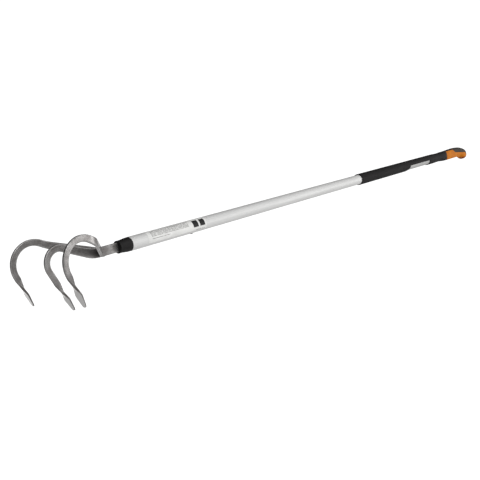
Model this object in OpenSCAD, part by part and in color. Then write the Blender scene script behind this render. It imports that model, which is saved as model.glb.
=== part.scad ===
// Long handled cultivator claw: three hooked tines on a tube with a long grip.
// X runs along the shaft towards the hand, Z points up and the tines hook down.
// The origin is on the shaft's axis at the front mouth of the tube.

/* [Shaft tube] */
// Outer diameter of the tube
tube_d = 24; // [22:0.5:32]
// Wall of the tube
tube_wall = 1.2; // [0.8:0.1:2]
// Bare tube between its front mouth and the grip
bare_l = 762; // [500:1:1000]

/* [Nose collar] */
// Length of the collar ahead of the tube
nose_l = 24.5; // [22:0.5:40]
// Length of the collar's tapered part
nose_taper_l = 20; // [12:0.5:21.5]
// Diameter of the collar at its mouth
nose_mouth_d = 20.2; // [18:0.1:21]
// Diameter of the collar where it meets the tube
nose_back_d = 23.6; // [22:0.1:23.8]
// Height of the bead round the mouth
nose_bead_h = 0.4; // [0.2:0.1:1]
// Length of the bead round the mouth
nose_bead_l = 2.6; // [1:0.1:4]
// Depth of the collar's spigot in the tube
spigot_l = 168; // [160:1:220]
// Gap between a spigot and the tube
spigot_gap = 0.1; // [0.05:0.05:0.3]

/* [Shank] */
// Length of the shank between the outer bars and the collar
shank_l = 31.5; // [22:0.5:42]
// Depth of the shank in the collar
tang_l = 74; // [50:1:110]
// Gap between the shank and the collar
tang_gap = 0.1; // [0.05:0.05:0.3]

/* [Tine bars] */
// Thickness of a tine's bar
bar_t = 4.5; // [3.5:0.1:5]
// Height of the bar at its root
bar_root_h = 15.6; // [13:0.1:17]
// Length of the bar at its full height
bar_full_l = 18; // [10:1:30]
// Height of the bar where its taper ends
bar_hook_h = 9.4; // [7:0.1:12]
// Gap between two bars at their roots
bar_gap = 0.1; // [0.05:0.05:0.3]

/* [Tine points] */
// Length of the leaf-shaped point, from its twist to its tip
leaf_l = 36; // [30:1:42]
// Distance of the leaf's widest place from its tip
leaf_shoulder_l = 20; // [14:1:24]
// Width of the leaf at its widest place
leaf_w = 10.9; // [9:0.1:14]
// Thickness of the leaf at its widest place
leaf_t = 3; // [2:0.1:4]
// Width of the bar at the middle of the twist
waist_w = 6.4; // [5.5:0.1:9]
// Width of the tip
tip_w = 6.2; // [3:0.1:7]
// Thickness of the tip
tip_t = 1.8; // [1:0.1:3]
// Length of the tip's rounded end
tip_round_l = 3; // [1:0.1:5]
// Length over which the bar turns from edge to flat
twist_l = 34; // [24:1:40]
// Turn of the left leaf
left_twist_a = 106; // [80:1:116]
// Turn of the middle leaf
middle_twist_a = 101; // [80:1:116]
// Turn of the right leaf
right_twist_a = 93; // [80:1:116]

/* [Middle tine] */
// Straight length ahead of the outer bars' roots
middle_root_l = 6; // [4:0.5:14]
// Radius of the bend where the bar starts to rise
middle_rise_r = 56; // [40:1:70]
// Rise of the straight run, above level
middle_rise_a = 22; // [16:0.5:30]
// Length of the straight run
middle_run_l = 45.5; // [30:0.5:55]
// Radius of the hook
middle_hook_r = 22.5; // [18:0.5:30]
// Lean of the leg towards the hand, from upright
middle_lean_a = 23; // [12:0.5:30]
// Length of the straight leg, to the tip
middle_leg_l = 70.5; // [60:0.5:80]
// Length of the bar's taper
middle_taper_l = 88; // [70:1:110]

/* [Outer tines] */
// Straight length at the bar's root
outer_root_l = 1; // [0.5:0.5:6]
// Radius of the bend where an outer bar fans out
outer_fan_r = 8.5; // [7:0.5:14]
// Angle of the fanned run from the shaft, seen from above
outer_fan_a = 49.5; // [40:0.5:60]
// Rise of the fanned run, above level
outer_rise_a = 18.5; // [12:0.5:24]
// Length of the fanned run
outer_run_l = 62; // [54:0.5:76]
// Radius of the bend where it turns ahead again
outer_turn_r = 31.5; // [26:0.5:44]
// Rise of the bar where it has turned ahead
outer_crown_a = 27.5; // [10:0.5:32]
// Turn of the hook outwards, seen from above
outer_toe_a = 5.5; // [0:0.5:12]
// Straight length between that bend and the hook
outer_crown_l = 1; // [0.5:0.5:10]
// Radius of the hook
outer_hook_r = 34.5; // [28:0.5:40]
// Lean of the leg towards the hand, from upright
outer_lean_a = 18.5; // [10:0.5:24]
// Length of the straight leg, to the tip
outer_leg_l = 52.5; // [48:0.5:66]
// Length of the bar's taper
outer_taper_l = 108; // [90:1:140]

/* [Weld beads] */
// Radius of a bead
weld_r = 3.4; // [2:0.1:4]
// Length of a bead
weld_l = 13.6; // [8:0.1:15]

/* [Lock rivet] */
// Distance of the rivet from the end of the collar's spigot
rivet_back_l = 22; // [14:1:40]
// Diameter of the rivet's body
rivet_d = 3.2; // [2.4:0.1:4]
// Diameter of the rivet's head
rivet_head_d = 6.4; // [5:0.1:8]
// Height of the rivet's head
rivet_head_h = 1.2; // [0.8:0.1:2]
// Depth of the rivet in the collar's spigot
rivet_bite_l = 2; // [1:0.1:2.4]
// Gap round a fastener's shank
shank_gap = 0.05; // [0.05:0.05:0.2]

/* [Label] */
// Distance of the label from the tube's mouth
label_x = 34; // [20:1:60]
// Length of the label
label_l = 144; // [100:1:180]
// Thickness of the film
label_t = 0.15; // [0.1:0.05:0.3]
// Gap between the film and the tube
label_gap = 0.02; // [0.01:0.01:0.1]
// Lower edge of the label, as an angle above the side of the tube
label_low_a = -38; // [-60:1:0]
// Turn of the label round the tube
label_wrap_a = 112; // [60:1:160]

/* [Grip] */
// Length of the grip
grip_l = 543; // [460:1:620]
// Wall of the grip along most of its length
grip_wall = 2; // [1.6:0.1:3]
// Wall of the grip at its waist
grip_waist_wall = 1.1; // [0.8:0.1:1.4]
// Distance of the waist from the rear end
grip_waist_x = 48; // [40:1:70]
// Length of the fall ahead of the waist
grip_swell_l = 50; // [40:1:70]
// Rounding of the grip's front edge
grip_round_r = 1.1; // [0.5:0.1:1.3]
// Gap between the grip and the tube
grip_gap = 0.05; // [0.05:0.05:0.2]

/* [Grip window] */
// Distance of the window from the grip's front
window_x = 282; // [240:1:300]
// Length of the window's straight edge
window_l = 135; // [90:1:150]
// Length of the sweep ahead of it
window_sweep_l = 36; // [20:1:60]
// Drop of the window's edge below the shaft's axis
window_z = 0.5; // [0:0.5:6]

/* [Handle end] */
// Length of the handle end
cap_l = 185; // [170:1:200]
// Rise of the top towards the hook
cap_rise_h = 2.4; // [0:0.1:4]
// Wall above the tube
cap_top_wall = 1.6; // [1.5:0.1:3]
// Wall below the tube
cap_low_wall = 3.2; // [2.6:0.1:5]
// Wall beside the tube
cap_side_wall = 2; // [1.5:0.1:4]
// Depth of the socket for the tube
cap_socket_l = 58; // [50:1:64]
// Length over which the top falls to the rear
cap_fall_l = 98; // [85:1:110]
// Length over which the underside drops into the hook
cap_drop_l = 32; // [22:1:50]
// Length of the rounded rear, behind the hook's lowest place
cap_tail_l = 29; // [20:1:38]
// Drop of the hook below the underside
cap_hook_h = 11.6; // [8:0.1:16]
// Height of the rearmost place below the shaft's axis
cap_tail_z = 13; // [8:0.5:16]
// Half width of the handle end at the hook
cap_hook_w = 13; // [10:0.1:15]
// Squareness of the section at the front, where 2 is an ellipse
cap_front_power = 3.6; // [2:0.1:5]
// Squareness of the section at the hook
cap_hook_power = 2.6; // [2:0.1:4]
// Gap between the socket and the tube
socket_gap = 0.05; // [0.05:0.05:0.2]

/* [Handle end inlay] */
// Thickness of the soft inlay
inlay_t = 0.8; // [0.5:0.1:0.9]
// Depth of the narrow strip below the top
inlay_strip_h = 1.5; // [1:0.1:3]
// Distance of the lobe from the front
inlay_lobe_x = 57; // [46:1:70]
// Length of the lobe's slanted start
inlay_slant_l = 14; // [6:1:20]
// Height of the lobe's edge above the axis at its start
inlay_lobe_z = 2; // [0:0.5:6]
// Drop of the lobe's edge below the axis at the hook
inlay_low_z = 6; // [2:0.5:8]
// Gap between the inlay and its bed
inlay_gap = 0.02; // [0.02:0.01:0.1]

/* [Rear plug and screw] */
// Length of the plug in the rear of the tube
plug_l = 60; // [50:1:80]
// Distance of the screw from the front of the handle end
screw_x = 38; // [30:1:44]
// Diameter of the screw's shank
screw_d = 3.5; // [2.5:0.1:4]
// Diameter of the screw's head
screw_head_d = 6.8; // [5:0.1:8]
// Height of the screw's head
screw_head_h = 1.6; // [1.2:0.1:2]
// Depth of the head below the surface
screw_sink = 0.4; // [0.2:0.1:0.8]
// Depth of the screw in the plug
screw_bite_l = 9; // [6:0.5:10]
// Width of the slot in the screw's head
slot_w = 1; // [0.6:0.1:1.4]
// Depth of the slot in the screw's head
slot_h = 0.8; // [0.4:0.1:1.2]

/* [Hidden] */
$fn = 64;

steel = [0.62, 0.61, 0.61];
dark_steel = [0.42, 0.41, 0.41];
black_plastic = [0.12, 0.12, 0.12];
soft_black = [0.21, 0.20, 0.20];
pale_metal = [0.84, 0.84, 0.85];
pale_film = [0.90, 0.90, 0.90];
orange = [0.76, 0.46, 0.15];

// One overrun serves all cuts
over = tube_wall;

tube_r = tube_d / 2;
bore_r = tube_r - tube_wall;
spigot_r = bore_r - spigot_gap;
grip_end = bare_l + grip_l;
tube_l = grip_end + cap_socket_l;
nose_mouth_r = nose_mouth_d / 2;
nose_back_r = nose_back_d / 2;
root_face = -nose_l - shank_l;
tang_end = tang_l - nose_l;
rivet_x = spigot_l - rivet_back_l;
cap_level_l = cap_l - cap_fall_l;
cap_hook_x = cap_l - cap_tail_l;
cap_notch_x = cap_hook_x - cap_drop_l;

// Chamfer of a bar's edges, as a share of its thickness
bar_edge_share = 0.26;
// Width of the tip's very end, as a share of the tip
tip_end_share = 0.6;
// Points round a bar
bar_sides = 8;
// Steps along each bend, leg, swell and end, and points round the grip
bend_steps = 6;
hook_steps = 20;
leg_steps = 30;
cap_steps = 20;
tail_steps = 8;
swell_steps = 9;
round_steps = 5;
ring_sides = 48;
// Turn of the handle end's rounding at its last ring
tail_turn = 84;
// Level share of a direction below which a bar stands upright
upright_share = 0.0001;

// Vector of length one along v
function unit(v) = v / norm(v);

// Value at share t of the way from a to b
function between(a, b, t) = a + (b - a) * t;

// Smooth step from 0 to 1
function ease(t) = let (u = max(0, min(1, t))) u * u * (3 - 2 * u);

// Direction of a bar that points ahead, turned aside by plan and upwards by rise
function heading(plan, rise) = [-cos(rise) * cos(plan), cos(rise) * sin(plan), sin(rise)];

// Bend of radius r that starts at p in direction h and ends in direction g
function bend(p, h, g, r, steps) =
    let (turn = acos(h * g))
    let (m = unit(g - (g * h) * h))
    [for (i = [0:steps]) p + r * (h * sin(turn * i / steps) + m * (1 - cos(turn * i / steps)))];

// Last point of a path
function end(path) = path[len(path) - 1];

// Even steps along a straight leg
function leg(from, h, length) = [for (i = [1:leg_steps]) from + h * length * i / leg_steps];

// Centre line of the middle tine, from the end of its shank to the tip
function middle_path() =
    let (ahead = heading(0, 0))
    let (up = heading(0, middle_rise_a))
    let (down = heading(0, -90 - middle_lean_a))
    let (root = [tang_end, 0, 0])
    let (start = root + ahead * (tang_end - root_face + middle_root_l))
    let (rise = bend(start, ahead, up, middle_rise_r, bend_steps))
    let (hook = bend(end(rise) + up * middle_run_l, up, down, middle_hook_r, hook_steps))
    concat([root], rise, hook, leg(end(hook), down, middle_leg_l));

// Centre line of an outer tine on one side, 1 for right and -1 for left
function outer_path(side) =
    let (ahead = heading(0, 0))
    let (out = heading(side * outer_fan_a, outer_rise_a))
    let (crown = heading(side * outer_toe_a, outer_crown_a))
    let (down = heading(side * outer_toe_a, -90 - outer_lean_a))
    let (root = [root_face, side * (bar_t + bar_gap), 0])
    let (fan = bend(root + ahead * outer_root_l, ahead, out, outer_fan_r, bend_steps))
    let (turn = bend(end(fan) + out * outer_run_l, out, crown, outer_turn_r, bend_steps))
    let (hook = bend(end(turn) + crown * outer_crown_l, crown, down, outer_hook_r, hook_steps))
    concat([root], fan, turn, hook, leg(end(hook), down, outer_leg_l));

// Direction of a path at each of its points
function headings(path) =
    let (last = len(path) - 1)
    [for (i = [0:last]) unit(path[min(i + 1, last)] - path[max(i - 1, 0)])];

// Length of a path up to each of its points
function runs(path) =
    [for (i = 0, s = 0; i < len(path); i = i + 1, s = i < len(path) ? s + norm(path[i] - path[i - 1]) : s) s];

// Level direction across a bar, which keeps the bar on its edge and stays on one side of it
function across(t) =
    let (v = [t.y, -t.x, 0])
    norm(v) < upright_share ? [0, 1, 0] : unit(v) * (v.y < 0 ? -1 : 1);

// Width of a bar at run s from the outer bars' roots and distance d from the tip, over a taper
function bar_width(s, d, taper) =
    d > leaf_l
        ? min(lookup(s, [[bar_full_l, bar_root_h], [bar_full_l + taper, bar_hook_h]]),
              lookup(d, [[leaf_l, waist_w], [leaf_l + twist_l, bar_root_h]]))
        : lookup(d, [
              [0, tip_w * tip_end_share], [tip_round_l, tip_w], [leaf_shoulder_l, leaf_w], [leaf_l, waist_w]
          ]);

// Thickness of a bar at distance d from the tip
function bar_thickness(d) = lookup(d, [[0, tip_t], [leaf_shoulder_l, leaf_t], [leaf_l, bar_t]]);

// Outline of a bar with chamfered edges, as [across, up] places
function bar_outline(w, t) =
    let (c = t * bar_edge_share)
    let (x = t / 2)
    let (y = w / 2)
    [
        [x, c - y], [x, y - c], [x - c, y], [c - x, y], [-x, y - c], [-x, c - y], [c - x, -y], [x - c, -y]
    ];

// Closed skin over rings that each have n points, as triangles
function skin(rings, n) =
    let (last = rings - 1)
    concat(
        [for (i = [0:last - 1], k = [0:n - 1]) [i * n + k, i * n + (k + 1) % n, (i + 1) * n + k]],
        [for (i = [0:last - 1], k = [0:n - 1])
            [(i + 1) * n + k, i * n + (k + 1) % n, (i + 1) * n + (k + 1) % n]
        ],
        [for (k = [1:n - 2]) [0, k + 1, k]],
        [for (k = [1:n - 2]) [last * n, last * n + k, last * n + k + 1]]
    );

// Flat bar on edge that follows a path and turns flat at its point, with a shank behind the roots
module tine(path, twist, taper, shank) {
    t = headings(path);
    s = runs(path);
    last = len(path) - 1;
    points = [for (i = [0:last])
        let (d = s[last] - s[i])
        let (turn = twist * ease((leaf_l + twist_l / 2 - d) / twist_l))
        let (level = across(t[i]))
        let (up = cross(level, t[i]))
        let (x = level * cos(turn) + up * sin(turn))
        let (y = up * cos(turn) - level * sin(turn))
        for (p = bar_outline(bar_width(s[i] - shank, d, taper), bar_thickness(d)))
            path[i] + x * p.x + y * p.y
    ];
    polyhedron(points, skin(last + 1, bar_sides), convexity = 6);
}

// Value of v raised to a power, with its sign kept
function signed_power(v, power) = sign(v) * pow(abs(v), power);

// Ring across the shaft at x, with half width w, from low to high, where a power of 2 makes an ellipse
function ring(x, w, low, high, power) =
    [for (k = [0:ring_sides - 1])
        let (a = -360 * k / ring_sides)
        [
            x,
            w * signed_power(cos(a), 2 / power),
            (low + high) / 2 + (high - low) / 2 * signed_power(sin(a), 2 / power)
        ]
    ];

// Solid body through a row of rings
module lofted(rings) {
    polyhedron([for (r = rings, p = r) p], skin(len(rings), ring_sides), convexity = 4);
}

// Solid of revolution about the shaft's axis, from [along, radius] places
module turned(profile) {
    rotate([90, 0, 90])
        rotate_extrude()
            polygon([for (p = profile) [p.y, p.x]]);
}

// Round bar along the shaft's axis
module along(r, from, to) {
    translate([from, 0, 0])
        rotate([0, 90, 0])
            cylinder(r = r, h = to - from);
}

// Upright round bar below or on the shaft's axis
module upright(r, x, from, to) {
    translate([x, 0, from])
        cylinder(r = r, h = to - from);
}

module tine_left() {
    color(steel)
        tine(outer_path(-1), left_twist_a, outer_taper_l, 0);
}

module tine_middle() {
    color(steel)
        tine(middle_path(), middle_twist_a, middle_taper_l, tang_end - root_face);
}

module tine_right() {
    color(steel)
        tine(outer_path(1), right_twist_a, outer_taper_l, 0);
}

// Fillet beads between the shank's sides and the ends of the outer bars
module weld_beads() {
    face = bar_t / 2;
    color(dark_steel)
        for (side = [-1, 1])
            intersection() {
                translate([root_face, side * face, -weld_l / 2])
                    cylinder(r = weld_r, h = weld_l);
                translate([root_face, side > 0 ? face : -face - 2 * weld_r, -weld_l])
                    cube([2 * weld_r, 2 * weld_r, 2 * weld_l]);
            }
}

module nose_collar() {
    mouth_w = bar_t + 2 * tang_gap;
    mouth_h = bar_root_h + 2 * tang_gap;
    color(black_plastic)
        difference() {
            turned([
                [-nose_l, 0], [-nose_l, nose_mouth_r], [-nose_l + nose_bead_h, nose_mouth_r + nose_bead_h],
                [-nose_l + nose_bead_l - nose_bead_h, nose_mouth_r + nose_bead_h],
                [-nose_l + nose_bead_l, nose_mouth_r], [-nose_l + nose_taper_l, nose_back_r],
                [0, nose_back_r], [0, spigot_r], [spigot_l, spigot_r], [spigot_l, 0]
            ]);
            translate([-nose_l - over, -mouth_w / 2, -mouth_h / 2])
                cube([tang_l + over + tang_gap, mouth_w, mouth_h]);
            upright(rivet_d / 2 + shank_gap, rivet_x, -spigot_r - over, -spigot_r + rivet_bite_l + shank_gap);
        }
}

module lock_rivet() {
    color(dark_steel) {
        upright(rivet_d / 2, rivet_x, -tube_r, -spigot_r + rivet_bite_l);
        translate([rivet_x, 0, -tube_r - rivet_head_h])
            cylinder(d1 = rivet_d, d2 = rivet_head_d, h = rivet_head_h);
    }
}

module shaft_tube() {
    color(pale_metal)
        difference() {
            along(tube_r, 0, tube_l);
            along(bore_r, -over, tube_l + over);
            upright(rivet_d / 2 + shank_gap, rivet_x, -tube_r - over, 0);
            upright(screw_d / 2 + shank_gap, grip_end + screw_x, -tube_r - over, 0);
        }
}

// Film round the side of the tube that faces left and up
module label_film() {
    color(pale_film)
        translate([label_x, 0, 0])
            rotate([180 - label_low_a, 0, 0])
                rotate([90, 0, 90])
                    rotate_extrude(angle = -label_wrap_a)
                        translate([tube_r + label_gap, 0])
                            square([label_t, label_l]);
}

// Round rings of the grip, from its front edge to its waist
function grip_front_rings() =
    let (front_r = tube_r + grip_wall)
    let (waist_r = tube_r + grip_waist_wall)
    let (waist = grip_end - grip_waist_x)
    concat(
        [for (i = [0:round_steps])
            let (a = 90 * i / round_steps)
            let (r = front_r - grip_round_r * (1 - sin(a)))
            ring(bare_l + grip_round_r * (1 - cos(a)), r, -r, r, 2)
        ],
        [for (i = [0:swell_steps])
            let (r = between(front_r, waist_r, ease(i / swell_steps)))
            ring(waist - grip_swell_l * (1 - i / swell_steps), r, -r, r, 2)
        ]
    );

// Rings of the grip behind its waist, which turn from round to the handle end's section
function grip_rear_rings() =
    let (waist_r = tube_r + grip_waist_wall)
    [for (i = [1:swell_steps])
        let (t = i / swell_steps)
        let (u = ease(t))
        ring(
            grip_end - grip_waist_x * (1 - t),
            between(waist_r, cap_half_width(0), u),
            between(-waist_r, cap_low(0), u),
            between(waist_r, cap_top(0), u),
            between(2, cap_front_power, u)
        )
    ];

// Space of the window, seen from the side, below the tube's middle
module window_space() {
    front_r = tube_r + grip_wall;
    drop = front_r + over - window_z;
    start = bare_l + window_x;
    rotate([90, 0, 0])
        translate([0, 0, -front_r - over])
            linear_extrude(2 * (front_r + over))
                polygon(concat(
                    [for (i = [0:swell_steps])
                        let (a = 90 * i / swell_steps)
                        [start - window_sweep_l * (1 - sin(a)), -window_z - drop * cos(a)]
                    ],
                    [[start + window_l, -window_z], [start + window_l, -window_z - drop]]
                ));
}

module grip_sleeve() {
    color(soft_black)
        difference() {
            lofted(concat(grip_front_rings(), grip_rear_rings()));
            along(tube_r + grip_gap, bare_l - over, grip_end + over);
            window_space();
        }
}

// Height of the handle end's top at distance x from its front
function cap_top(x) =
    let (top = tube_r + cap_top_wall + cap_rise_h * ease(x / cap_level_l))
    let (u = max(0, x - cap_level_l) / cap_fall_l)
    -cap_tail_z + (top + cap_tail_z) * sqrt(max(0, 1 - u * u));

// Height of the handle end's underside at distance x from its front
function cap_low(x) =
    let (base = -tube_r - cap_low_wall)
    let (deep = base - cap_hook_h)
    let (u = max(0, x - cap_hook_x) / cap_tail_l)
    x < cap_hook_x
        ? between(base, deep, ease((x - cap_notch_x) / cap_drop_l))
        : -cap_tail_z + (deep + cap_tail_z) * sqrt(max(0, 1 - u * u));

// Half width of the handle end at distance x from its front
function cap_half_width(x) =
    let (u = max(0, x - cap_hook_x) / cap_tail_l)
    between(tube_r + cap_side_wall, cap_hook_w, ease(x / cap_hook_x)) * sqrt(max(0, 1 - u * u));

// Squareness of the handle end's section at distance x from its front
function cap_power(x) = between(cap_front_power, cap_hook_power, ease(x / cap_hook_x));

// Handle end as rings along its length, drawn in by an inset, with its front face moved ahead by a lead
module cap_form(inset, lead) {
    stations = concat(
        [for (i = [0:cap_steps]) cap_hook_x * i / cap_steps],
        [for (i = [1:tail_steps]) cap_hook_x + cap_tail_l * sin(tail_turn * i / tail_steps)]
    );
    lofted([for (x = stations)
        let (back = inset * max(0, x - cap_hook_x) / cap_tail_l)
        ring(
            grip_end + (x > 0 ? x - back : -lead),
            cap_half_width(x) - inset,
            cap_low(x) + inset,
            cap_top(x) - inset,
            cap_power(x)
        )
    ]);
}

// Space above the inlay's edge, seen from the side
module inlay_space(grow) {
    top = tube_r + cap_top_wall;
    sky = top + cap_rise_h + over;
    deep = tube_r + cap_low_wall + cap_hook_h;
    rotate([90, 0, 0])
        translate([grip_end, 0, -tube_d])
            linear_extrude(2 * tube_d)
                polygon([
                    [-over, top - inlay_strip_h - grow],
                    [inlay_lobe_x - grow, top - inlay_strip_h - grow],
                    [inlay_lobe_x + inlay_slant_l - grow, inlay_lobe_z - grow],
                    [cap_hook_x, -inlay_low_z - grow],
                    [cap_l + over, -deep],
                    [cap_l + over, sky],
                    [-over, sky]
                ]);
}

module end_cap() {
    low = -tube_r - cap_low_wall - over;
    color(orange)
        difference() {
            cap_form(0, 0);
            difference() {
                inlay_space(inlay_gap);
                cap_form(inlay_t + inlay_gap, over);
            }
            along(tube_r + socket_gap, grip_end - over, tube_l);
            upright(screw_d / 2 + shank_gap, grip_end + screw_x, low, 0);
            upright(screw_head_d / 2 + shank_gap, grip_end + screw_x, low, screw_seat());
        }
}

module end_cap_inlay() {
    color(soft_black)
        difference() {
            intersection() {
                cap_form(0, 0);
                inlay_space(0);
            }
            cap_form(inlay_t, over);
        }
}

module rear_plug() {
    color(black_plastic)
        difference() {
            along(spigot_r, tube_l - plug_l, tube_l);
            upright(screw_d / 2 + shank_gap, grip_end + screw_x, -tube_r, screw_tip() + shank_gap);
        }
}

// Height of the screw head's seat in the handle end
function screw_seat() = -tube_r - cap_low_wall + screw_sink + screw_head_h;

// Height of the screw's tip in the plug
function screw_tip() = -spigot_r + screw_bite_l;

module cap_screw() {
    color(dark_steel)
        difference() {
            union() {
                upright(screw_d / 2, grip_end + screw_x, screw_seat(), screw_tip());
                upright(screw_head_d / 2, grip_end + screw_x, screw_seat() - screw_head_h, screw_seat());
            }
            translate([grip_end + screw_x - screw_head_d, -slot_w / 2, screw_seat() - screw_head_h - over])
                cube([2 * screw_head_d, slot_w, slot_h + over]);
        }
}

tine_left();
tine_middle();
tine_right();
weld_beads();
nose_collar();
lock_rivet();
shaft_tube();
label_film();
grip_sleeve();
end_cap();
end_cap_inlay();
rear_plug();
cap_screw();
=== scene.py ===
# %% [markdown]
# # A long handled cultivator claw
#
# The tool has three hooked steel tines, a black collar, a long pale tube with a label, a soft dark
# grip with a window on its underside, and an orange handle end with a soft inlay on top. The
# packed CAD model is loaded first. It fixes every size and place, in metres, with X along the
# shaft towards the hand and Z up. Each piece below is a surface worked out with numpy that takes
# the place of a CAD node, and each gets a finish built from shader nodes.

import bmesh
import bpy
import numpy as np
from mathutils import Matrix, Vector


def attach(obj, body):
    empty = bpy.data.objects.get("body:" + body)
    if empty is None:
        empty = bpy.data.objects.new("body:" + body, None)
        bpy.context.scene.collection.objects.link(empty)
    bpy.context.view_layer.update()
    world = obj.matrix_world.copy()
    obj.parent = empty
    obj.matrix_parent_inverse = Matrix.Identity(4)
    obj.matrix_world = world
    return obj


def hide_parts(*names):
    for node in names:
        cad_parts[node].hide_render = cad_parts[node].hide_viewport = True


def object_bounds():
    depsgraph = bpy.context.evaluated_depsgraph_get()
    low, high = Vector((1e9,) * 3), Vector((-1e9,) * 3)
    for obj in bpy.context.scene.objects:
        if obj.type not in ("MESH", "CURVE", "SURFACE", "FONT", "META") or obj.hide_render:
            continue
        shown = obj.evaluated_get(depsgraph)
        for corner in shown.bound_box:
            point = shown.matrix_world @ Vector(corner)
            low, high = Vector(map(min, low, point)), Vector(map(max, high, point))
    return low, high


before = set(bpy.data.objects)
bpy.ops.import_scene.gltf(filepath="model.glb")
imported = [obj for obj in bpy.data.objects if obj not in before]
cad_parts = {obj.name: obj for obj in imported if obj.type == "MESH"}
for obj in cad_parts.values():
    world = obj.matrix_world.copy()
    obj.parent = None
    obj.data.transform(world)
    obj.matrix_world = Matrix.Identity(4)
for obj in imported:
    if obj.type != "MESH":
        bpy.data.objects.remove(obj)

cad_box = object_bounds()


def rounded(box):
    """Corners of a box, rounded to tenths of a millimetre for printing."""
    return [[round(v, 4) for v in corner] for corner in box]


print("CAD box:", rounded(cad_box))

# %% [markdown]
# ## Camera
#
# The photograph looks along the tool from the claw's side, a little from above, so the claw is
# near and the handle end is far away. A camera could be placed by eye. Here its place and its
# three axes were solved from points of the tool in the photograph, because a long tool shows every
# error, and they are written out as one matrix.

# %% Camera
MM = 0.001
IMAGE_SIDE, FOCAL_PIXELS = 480, 650
CENTRE_SHIFT = 0.5 / IMAGE_SIDE
CAMERA_RIGHT = (0.62501, -0.76142, -0.17210)
CAMERA_DOWN = (-0.20793, 0.05012, -0.97685)
CAMERA_AHEAD = (0.75242, 0.64633, -0.12700)
CAMERA_PLACE = np.array((-681.15, -822.54, 108.78)) * MM

lens = bpy.data.cameras.new("photo_camera")
lens.sensor_width = 36
lens.lens = FOCAL_PIXELS * lens.sensor_width / IMAGE_SIDE
lens.shift_x, lens.shift_y = -CENTRE_SHIFT, CENTRE_SHIFT
lens.clip_end = 100
camera = bpy.data.objects.new("photo_camera", lens)
bpy.context.scene.collection.objects.link(camera)
axes = np.array((CAMERA_RIGHT, np.negative(CAMERA_DOWN), np.negative(CAMERA_AHEAD))).T
camera.matrix_world = Matrix.LocRotScale(CAMERA_PLACE, Matrix(axes.tolist()), None)
bpy.context.scene.camera = camera
print("Camera lens:", round(lens.lens, 2), "mm at", CAMERA_PLACE.round(3))

# %% [markdown]
# ## Meshes from grids
#
# Almost every piece of this tool is a row of sections along a line: a bar, a tube, a sleeve.
# Curves with a bevel could give some of them, but not sections that change on the way. So one
# helper joins grids of points into faces and another makes an object of them. Points that fall
# together, at seams and poles, are merged, and the faces are then turned outwards.

# %% Meshes from grids
MERGE_DISTANCE = 1e-6
SHARP_ANGLE = np.radians(40)


def grid_faces(rows, columns, closed, first=0):
    """Squares between neighbours of a grid. A closed grid joins its last column to its first."""
    row = np.arange(rows - 1)[:, None] * columns
    column = np.arange(columns if closed else columns - 1)[None, :]
    after = (column + 1) % columns
    corners = [row + column, row + after, row + columns + after, row + columns + column]
    return np.stack(corners, axis=-1).reshape(-1, 4) + first


def make_piece(name, grids, faces, finish, node, traits=None):
    """Object from grids of points in millimetres and their faces, which stands for a CAD node.

    traits are named values of the points, numbers or vectors, that a finish can read. Each grid of
    the piece gets the same values."""
    points = np.concatenate([grid.reshape(-1, 3) for grid in grids]) * MM
    mesh = bpy.data.meshes.new(name)
    mesh.from_pydata(points.tolist(), [], faces.tolist())
    for trait, values in (traits or {}).items():
        kind, key = ("FLOAT", "value") if values.ndim == 2 else ("FLOAT_VECTOR", "vector")
        layer = mesh.attributes.new(trait, kind, "POINT")
        layer.data.foreach_set(key, np.tile(values.ravel(), len(grids)).astype(np.float32))
    shape = bmesh.new()
    shape.from_mesh(mesh)
    bmesh.ops.remove_doubles(shape, verts=shape.verts, dist=MERGE_DISTANCE)
    bmesh.ops.recalc_face_normals(shape, faces=shape.faces)
    open_edges = sum(len(edge.link_faces) != 2 for edge in shape.edges)
    shape.to_mesh(mesh)
    shape.free()
    mesh.polygons.foreach_set("use_smooth", np.ones(len(mesh.polygons), dtype=bool))
    mesh.set_sharp_from_angle(angle=SHARP_ANGLE)
    mesh.materials.append(finish.material)
    piece = bpy.data.objects.new(name, mesh)
    bpy.context.scene.collection.objects.link(piece)
    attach(piece, "root")
    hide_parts(node)
    print(name, "has", len(mesh.polygons), "faces and", open_edges, "open edges")


def ringed_piece(name, grids, finish, node, traits=None):
    """Piece from grids of one size whose columns close into rings."""
    rows, columns = grids[0].shape[:2]
    faces = [grid_faces(rows, columns, True, i * rows * columns) for i in range(len(grids))]
    make_piece(name, grids, np.vstack(faces), finish, node, traits)


def ease(t):
    """Smooth step: 0 below 0, 1 above 1 and level at both ends."""
    u = np.clip(t, 0, 1)
    return u * u * (3 - 2 * u)


def unit(v):
    """Vectors scaled to length one."""
    return v / np.linalg.norm(v, axis=-1, keepdims=True)


print("Three rings of four points have", len(grid_faces(3, 4, True)), "faces")

# %% [markdown]
# ## Finishes as expressions
#
# A finish is a tree of shader nodes. Adding each node by hand makes long code that hides the idea,
# so one small class wraps an output socket and lets Python's operators add the Math nodes. Any
# other node comes from one method, which sets the node's own settings first and then its sockets.

# %% Wires


def operator(operation):
    """A Python operator that adds a Math node, and its reflected form, so that 1 - wire works."""

    def forward(wire, other):
        return wire.math(operation, wire, other)

    def reflected(wire, other):
        return wire.math(operation, other, wire)

    return forward, reflected


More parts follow.
